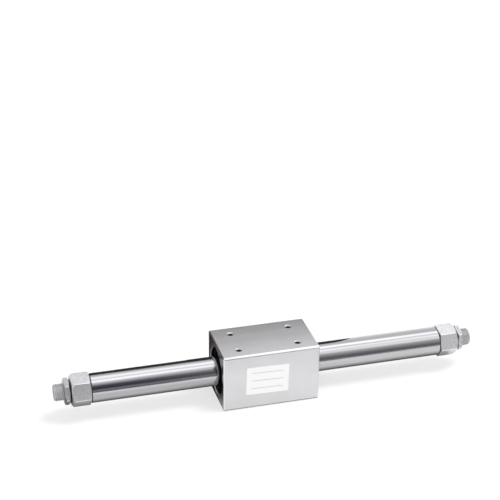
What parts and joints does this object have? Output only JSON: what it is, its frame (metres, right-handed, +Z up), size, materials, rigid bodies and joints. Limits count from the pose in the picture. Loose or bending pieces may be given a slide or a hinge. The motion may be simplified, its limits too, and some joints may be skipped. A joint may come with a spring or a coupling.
{
  "type": "rodless pneumatic cylinder",
  "caption": "Magnetically coupled rodless air cylinder: a slider block rides on a closed stainless tube with hexagonal end covers, threaded studs and mounting nuts.",
  "frame": {"origin": "on the tube's axis, midway between the two stud ends", "axes": "+X along the tube, towards the right cover; +Z up, out of the slider's face with the mounting holes; +Y to the back"},
  "size_m": [0.251, 0.035, 0.035],
  "materials": {
    "polished_steel": "polished stainless",
    "nickel_plate": "satin electroless nickel on aluminium",
    "plated_steel": "satin nickel plate",
    "anodised_aluminium": "clear anodised, satin",
    "turned_steel": "turned",
    "yoke_steel": "turned, zinc plated",
    "magnet": "nickel plated rare earth magnet",
    "black_steel": "phosphated spring steel",
    "brass": "turned",
    "black_rubber": "matt nitrile rubber",
    "urethane": "cast urethane",
    "brown_resin": "filled resin",
    "dark_resin": "filled resin",
    "felt": "greased felt"
  },
  "bodies": {
    "cylinder": {"cylinder_tube": "polished_steel", "left_cover": "nickel_plate", "left_gasket": "black_rubber", "left_bumper": "urethane", "right_cover": "nickel_plate", "right_gasket": "black_rubber", "right_bumper": "urethane"},
    "piston": {"piston_shaft": "turned_steel", "left_piston": "brass", "left_piston_seal": "black_rubber", "left_piston_wear_ring": "brown_resin", "left_piston_nut": "plated_steel", "right_piston": "brass", "right_piston_seal": "black_rubber", "right_piston_wear_ring": "brown_resin", "right_piston_nut": "plated_steel", "inner_magnet_1": "magnet", "inner_magnet_2": "magnet", "inner_magnet_3": "magnet", "inner_magnet_4": "magnet", "inner_yoke_1": "yoke_steel", "inner_yoke_2": "yoke_steel", "inner_yoke_3": "yoke_steel", "inner_yoke_4": "yoke_steel", "inner_yoke_5": "yoke_steel"},
    "slider": {"slider_body": "anodised_aluminium", "outer_magnet_1": "magnet", "outer_magnet_2": "magnet", "outer_magnet_3": "magnet", "outer_magnet_4": "magnet", "outer_yoke_1": "yoke_steel", "outer_yoke_2": "yoke_steel", "outer_yoke_3": "yoke_steel", "outer_yoke_4": "yoke_steel", "outer_yoke_5": "yoke_steel", "left_wear_ring": "dark_resin", "left_grease_retainer": "felt", "left_spacer": "turned_steel", "left_scraper": "black_rubber", "left_retaining_ring": "black_steel", "right_wear_ring": "dark_resin", "right_grease_retainer": "felt", "right_spacer": "turned_steel", "right_scraper": "black_rubber", "right_retaining_ring": "black_steel"},
    "left_nut": {"left_mounting_nut": "plated_steel"},
    "right_nut": {"right_mounting_nut": "plated_steel"}
  },
  "joints": [
    {"name": "piston_slide", "type": "slide", "parent": "cylinder", "child": "piston", "axis": [1, 0, 0], "range_m": [-0.0725, 0.0775]},
    {"name": "slider_turn", "type": "hinge", "parent": "piston", "child": "slider", "pos_m": [-0.0025, 0, 0], "axis": [1, 0, 0], "continuous": true},
    {"name": "left_nut_travel", "type": "slide", "parent": "cylinder", "child": "left_nut", "axis": [-1, 0, 0], "range_m": [-0.0007, 0.0055]},
    {"name": "right_nut_travel", "type": "slide", "parent": "cylinder", "child": "right_nut", "axis": [1, 0, 0], "range_m": [-0.0007, 0.0055]}
  ]
}
